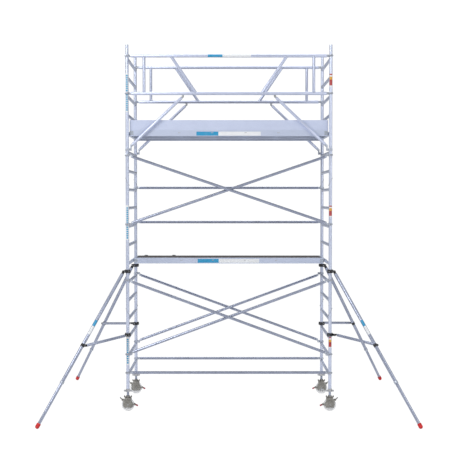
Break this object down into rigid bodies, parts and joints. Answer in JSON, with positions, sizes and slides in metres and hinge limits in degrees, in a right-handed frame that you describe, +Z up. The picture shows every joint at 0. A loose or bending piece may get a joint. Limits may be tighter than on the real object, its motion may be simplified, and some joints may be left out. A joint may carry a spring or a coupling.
{
  "type": "mobile tower scaffold",
  "caption": "Mobile aluminium access tower with ladder frames, braces, two platform levels, guardrails, toe boards, braked castors and splayed outriggers.",
  "frame": {"origin": "on the ground, at the middle of the tower", "axes": "+Z up, +X along the bay to the right seen from the front, +Y across the frames to the rear"},
  "size_m": [5.4026, 3.6526, 5.505],
  "materials": {
    "standards": "satin extruded tube",
    "braces": "satin extruded tube",
    "castings": "as cast",
    "zinc_steel": "zinc plated",
    "deck_beams": "satin extrusion",
    "deck_boards": "phenolic film faced plywood",
    "toe_boards": "satin extrusion",
    "castor_metal": "grey pressed steel",
    "wheels": "pale moulded tread",
    "pedals": "grey steel with a red tip",
    "clamps": "black powder coat",
    "feet": "red moulded foot on an aluminium tube"
  },
  "bodies": {
    "tower": {"frame_base_left": "standards", "frame_base_right": "standards", "frame_middle_left": "standards", "frame_middle_right": "standards", "frame_top_left": "standards", "frame_top_right": "standards", "frame_lock_clips": "zinc_steel", "horizontal_braces": "braces", "diagonal_braces_front_base": "braces", "diagonal_braces_rear_base": "braces", "diagonal_braces_front_upper": "braces", "brace_claws": "castings", "lower_deck_frame": "deck_beams", "upper_hatch_deck_frame": "deck_beams", "upper_plain_deck_frame": "deck_beams", "deck_boards": "deck_boards", "deck_hooks": "castings", "toe_boards_long": "toe_boards", "toe_boards_end": "toe_boards", "guardrail_front": "braces", "guardrail_rear": "braces", "strut_front_left": "braces", "strut_front_right": "braces", "castor_wing_nuts": "castings"},
    "lower_hatch": {"lower_hatch": "deck_boards"},
    "upper_hatch": {"upper_hatch": "deck_boards"},
    "strut_rear_left": {"strut_rear_left": "braces"},
    "strut_rear_right": {"strut_rear_right": "braces"},
    "castor_leg_front_left": {"castor_leg_front_left": "zinc_steel"},
    "castor_leg_front_right": {"castor_leg_front_right": "zinc_steel"},
    "castor_leg_rear_left": {"castor_leg_rear_left": "zinc_steel"},
    "castor_leg_rear_right": {"castor_leg_rear_right": "zinc_steel"},
    "castor_fork_front_left": {"castor_fork_front_left": "castor_metal"},
    "castor_fork_front_right": {"castor_fork_front_right": "castor_metal"},
    "castor_fork_rear_left": {"castor_fork_rear_left": "castor_metal"},
    "castor_fork_rear_right": {"castor_fork_rear_right": "castor_metal"},
    "castor_wheel_front_left": {"castor_wheel_front_left": "wheels"},
    "castor_wheel_front_right": {"castor_wheel_front_right": "wheels"},
    "castor_wheel_rear_left": {"castor_wheel_rear_left": "wheels"},
    "castor_wheel_rear_right": {"castor_wheel_rear_right": "wheels"},
    "brake_pedal_front_left": {"brake_pedal_front_left": "pedals"},
    "brake_pedal_front_right": {"brake_pedal_front_right": "pedals"},
    "brake_pedal_rear_left": {"brake_pedal_rear_left": "pedals"},
    "brake_pedal_rear_right": {"brake_pedal_rear_right": "pedals"},
    "outrigger_clamps_front_left": {"outrigger_clamps_front_left": "clamps"},
    "outrigger_clamps_front_right": {"outrigger_clamps_front_right": "clamps"},
    "outrigger_clamps_rear_left": {"outrigger_clamps_rear_left": "clamps"},
    "outrigger_clamps_rear_right": {"outrigger_clamps_rear_right": "clamps"},
    "outrigger_leg_front_left": {"outrigger_leg_front_left": "braces"},
    "outrigger_leg_front_right": {"outrigger_leg_front_right": "braces"},
    "outrigger_leg_rear_left": {"outrigger_leg_rear_left": "braces"},
    "outrigger_leg_rear_right": {"outrigger_leg_rear_right": "braces"},
    "outrigger_foot_front_left": {"outrigger_foot_front_left": "feet"},
    "outrigger_foot_front_right": {"outrigger_foot_front_right": "feet"},
    "outrigger_foot_rear_left": {"outrigger_foot_rear_left": "feet"},
    "outrigger_foot_rear_right": {"outrigger_foot_rear_right": "feet"},
    "outrigger_arm_front_left": {"outrigger_arm_front_left": "braces"},
    "outrigger_arm_front_right": {"outrigger_arm_front_right": "braces"},
    "outrigger_arm_rear_left": {"outrigger_arm_rear_left": "braces"},
    "outrigger_arm_rear_right": {"outrigger_arm_rear_right": "braces"}
  },
  "joints": [
    {"name": "lower_hatch_hinge", "type": "hinge", "parent": "tower", "child": "lower_hatch", "pos_m": [-1.1225, 0.582, 2.282], "axis": [-1, 0, 0], "range_deg": [0, 92]},
    {"name": "upper_hatch_hinge", "type": "hinge", "parent": "tower", "child": "upper_hatch", "pos_m": [1.1225, 0.582, 4.242], "axis": [-1, 0, 0], "range_deg": [0, 92]},
    {"name": "strut_rear_left_swing", "type": "hinge", "parent": "tower", "child": "strut_rear_left", "pos_m": [-0.689, 0.65, 4.734], "axis": [0, -1, 0], "range_deg": [0, 75]},
    {"name": "strut_rear_right_swing", "type": "hinge", "parent": "tower", "child": "strut_rear_right", "pos_m": [0.689, 0.65, 4.734], "axis": [0, 1, 0], "range_deg": [0, 75]},
    {"name": "castor_leg_front_left_slide", "type": "slide", "parent": "tower", "child": "castor_leg_front_left", "axis": [0, 0, -1], "range_m": [0, 0.2]},
    {"name": "castor_front_left_swivel", "type": "hinge", "parent": "castor_leg_front_left", "child": "castor_fork_front_left", "pos_m": [-1.525, -0.65, 0.2], "axis": [0, 0, 1], "continuous": true},
    {"name": "wheel_front_left_spin", "type": "hinge", "parent": "castor_fork_front_left", "child": "castor_wheel_front_left", "pos_m": [-1.525, -0.65, 0.095], "axis": [0, 1, 0], "continuous": true},
    {"name": "brake_front_left_lift", "type": "hinge", "parent": "castor_fork_front_left", "child": "brake_pedal_front_left", "pos_m": [-1.525, -0.65, 0.15], "axis": [0, -1, 0], "range_deg": [0, 14]},
    {"name": "outrigger_front_left_swing", "type": "hinge", "parent": "tower", "child": "outrigger_clamps_front_left", "pos_m": [-1.525, -0.65, 1.6], "axis": [0, 0, 1], "range_deg": [-45, 45]},
    {"name": "outrigger_front_left_fold", "type": "hinge", "parent": "outrigger_clamps_front_left", "child": "outrigger_leg_front_left", "pos_m": [-1.57803, -0.70303, 2.112], "axis": [0.7071, -0.7071, 0], "range_deg": [0, 20]},
    {"name": "outrigger_front_left_telescope", "type": "slide", "parent": "outrigger_leg_front_left", "child": "outrigger_foot_front_left", "axis": [0.4216, 0.4216, 0.8028], "range_m": [-0.25, 0.5]},
    {"name": "outrigger_front_left_arm", "type": "hinge", "parent": "outrigger_leg_front_left", "child": "outrigger_arm_front_left", "pos_m": [-2.11894, -1.24394, 1.08198], "axis": [0.7071, -0.7071, 0], "range_deg": [0, 46]},
    {"name": "castor_leg_front_right_slide", "type": "slide", "parent": "tower", "child": "castor_leg_front_right", "axis": [0, 0, -1], "range_m": [0, 0.2]},
    {"name": "castor_front_right_swivel", "type": "hinge", "parent": "castor_leg_front_right", "child": "castor_fork_front_right", "pos_m": [1.525, -0.65, 0.2], "axis": [0, 0, 1], "continuous": true},
    {"name": "wheel_front_right_spin", "type": "hinge", "parent": "castor_fork_front_right", "child": "castor_wheel_front_right", "pos_m": [1.525, -0.65, 0.095], "axis": [0, 1, 0], "continuous": true},
    {"name": "brake_front_right_lift", "type": "hinge", "parent": "castor_fork_front_right", "child": "brake_pedal_front_right", "pos_m": [1.525, -0.65, 0.15], "axis": [0, 1, 0], "range_deg": [0, 14]},
    {"name": "outrigger_front_right_swing", "type": "hinge", "parent": "tower", "child": "outrigger_clamps_front_right", "pos_m": [1.525, -0.65, 1.6], "axis": [0, 0, 1], "range_deg": [-45, 45]},
    {"name": "outrigger_front_right_fold", "type": "hinge", "parent": "outrigger_clamps_front_right", "child": "outrigger_leg_front_right", "pos_m": [1.57803, -0.70303, 2.112], "axis": [0.7071, 0.7071, 0], "range_deg": [0, 20]},
    {"name": "outrigger_front_right_telescope", "type": "slide", "parent": "outrigger_leg_front_right", "child": "outrigger_foot_front_right", "axis": [-0.4216, 0.4216, 0.8028], "range_m": [-0.25, 0.5]},
    {"name": "outrigger_front_right_arm", "type": "hinge", "parent": "outrigger_leg_front_right", "child": "outrigger_arm_front_right", "pos_m": [2.11894, -1.24394, 1.08198], "axis": [0.7071, 0.7071, 0], "range_deg": [0, 46]},
    {"name": "castor_leg_rear_left_slide", "type": "slide", "parent": "tower", "child": "castor_leg_rear_left", "axis": [0, 0, -1], "range_m": [0, 0.2]},
    {"name": "castor_rear_left_swivel", "type": "hinge", "parent": "castor_leg_rear_left", "child": "castor_fork_rear_left", "pos_m": [-1.525, 0.65, 0.2], "axis": [0, 0, 1], "continuous": true},
    {"name": "wheel_rear_left_spin", "type": "hinge", "parent": "castor_fork_rear_left", "child": "castor_wheel_rear_left", "pos_m": [-1.525, 0.65, 0.095], "axis": [0, 1, 0], "continuous": true},
    {"name": "brake_rear_left_lift", "type": "hinge", "parent": "castor_fork_rear_left", "child": "brake_pedal_rear_left", "pos_m": [-1.525, 0.65, 0.15], "axis": [0, -1, 0], "range_deg": [0, 14]},
    {"name": "outrigger_rear_left_swing", "type": "hinge", "parent": "tower", "child": "outrigger_clamps_rear_left", "pos_m": [-1.525, 0.65, 1.6], "axis": [0, 0, 1], "range_deg": [-45, 45]},
    {"name": "outrigger_rear_left_fold", "type": "hinge", "parent": "outrigger_clamps_rear_left", "child": "outrigger_leg_rear_left", "pos_m": [-1.57803, 0.70303, 2.112], "axis": [-0.7071, -0.7071, 0], "range_deg": [0, 20]},
    {"name": "outrigger_rear_left_telescope", "type": "slide", "parent": "outrigger_leg_rear_left", "child": "outrigger_foot_rear_left", "axis": [0.4216, -0.4216, 0.8028], "range_m": [-0.25, 0.5]},
    {"name": "outrigger_rear_left_arm", "type": "hinge", "parent": "outrigger_leg_rear_left", "child": "outrigger_arm_rear_left", "pos_m": [-2.11894, 1.24394, 1.08198], "axis": [-0.7071, -0.7071, 0], "range_deg": [0, 46]},
    {"name": "castor_leg_rear_right_slide", "type": "slide", "parent": "tower", "child": "castor_leg_rear_right", "axis": [0, 0, -1], "range_m": [0, 0.2]},
    {"name": "castor_rear_right_swivel", "type": "hinge", "parent": "castor_leg_rear_right", "child": "castor_fork_rear_right", "pos_m": [1.525, 0.65, 0.2], "axis": [0, 0, 1], "continuous": true},
    {"name": "wheel_rear_right_spin", "type": "hinge", "parent": "castor_fork_rear_right", "child": "castor_wheel_rear_right", "pos_m": [1.525, 0.65, 0.095], "axis": [0, 1, 0], "continuous": true},
    {"name": "brake_rear_right_lift", "type": "hinge", "parent": "castor_fork_rear_right", "child": "brake_pedal_rear_right", "pos_m": [1.525, 0.65, 0.15], "axis": [0, 1, 0], "range_deg": [0, 14]},
    {"name": "outrigger_rear_right_swing", "type": "hinge", "parent": "tower", "child": "outrigger_clamps_rear_right", "pos_m": [1.525, 0.65, 1.6], "axis": [0, 0, 1], "range_deg": [-45, 45]},
    {"name": "outrigger_rear_right_fold", "type": "hinge", "parent": "outrigger_clamps_rear_right", "child": "outrigger_leg_rear_right", "pos_m": [1.57803, 0.70303, 2.112], "axis": [-0.7071, 0.7071, 0], "range_deg": [0, 20]},
    {"name": "outrigger_rear_right_telescope", "type": "slide", "parent": "outrigger_leg_rear_right", "child": "outrigger_foot_rear_right", "axis": [-0.4216, -0.4216, 0.8028], "range_m": [-0.25, 0.5]},
    {"name": "outrigger_rear_right_arm", "type": "hinge", "parent": "outrigger_leg_rear_right", "child": "outrigger_arm_rear_right", "pos_m": [2.11894, 1.24394, 1.08198], "axis": [-0.7071, 0.7071, 0], "range_deg": [0, 46]}
  ],
  "couplings": [
    {"joint": "outrigger_front_left_arm", "follows": "outrigger_front_left_fold", "ratio": 2.3},
    {"joint": "outrigger_front_right_arm", "follows": "outrigger_front_right_fold", "ratio": 2.3},
    {"joint": "outrigger_rear_left_arm", "follows": "outrigger_rear_left_fold", "ratio": 2.3},
    {"joint": "outrigger_rear_right_arm", "follows": "outrigger_rear_right_fold", "ratio": 2.3}
  ]
}
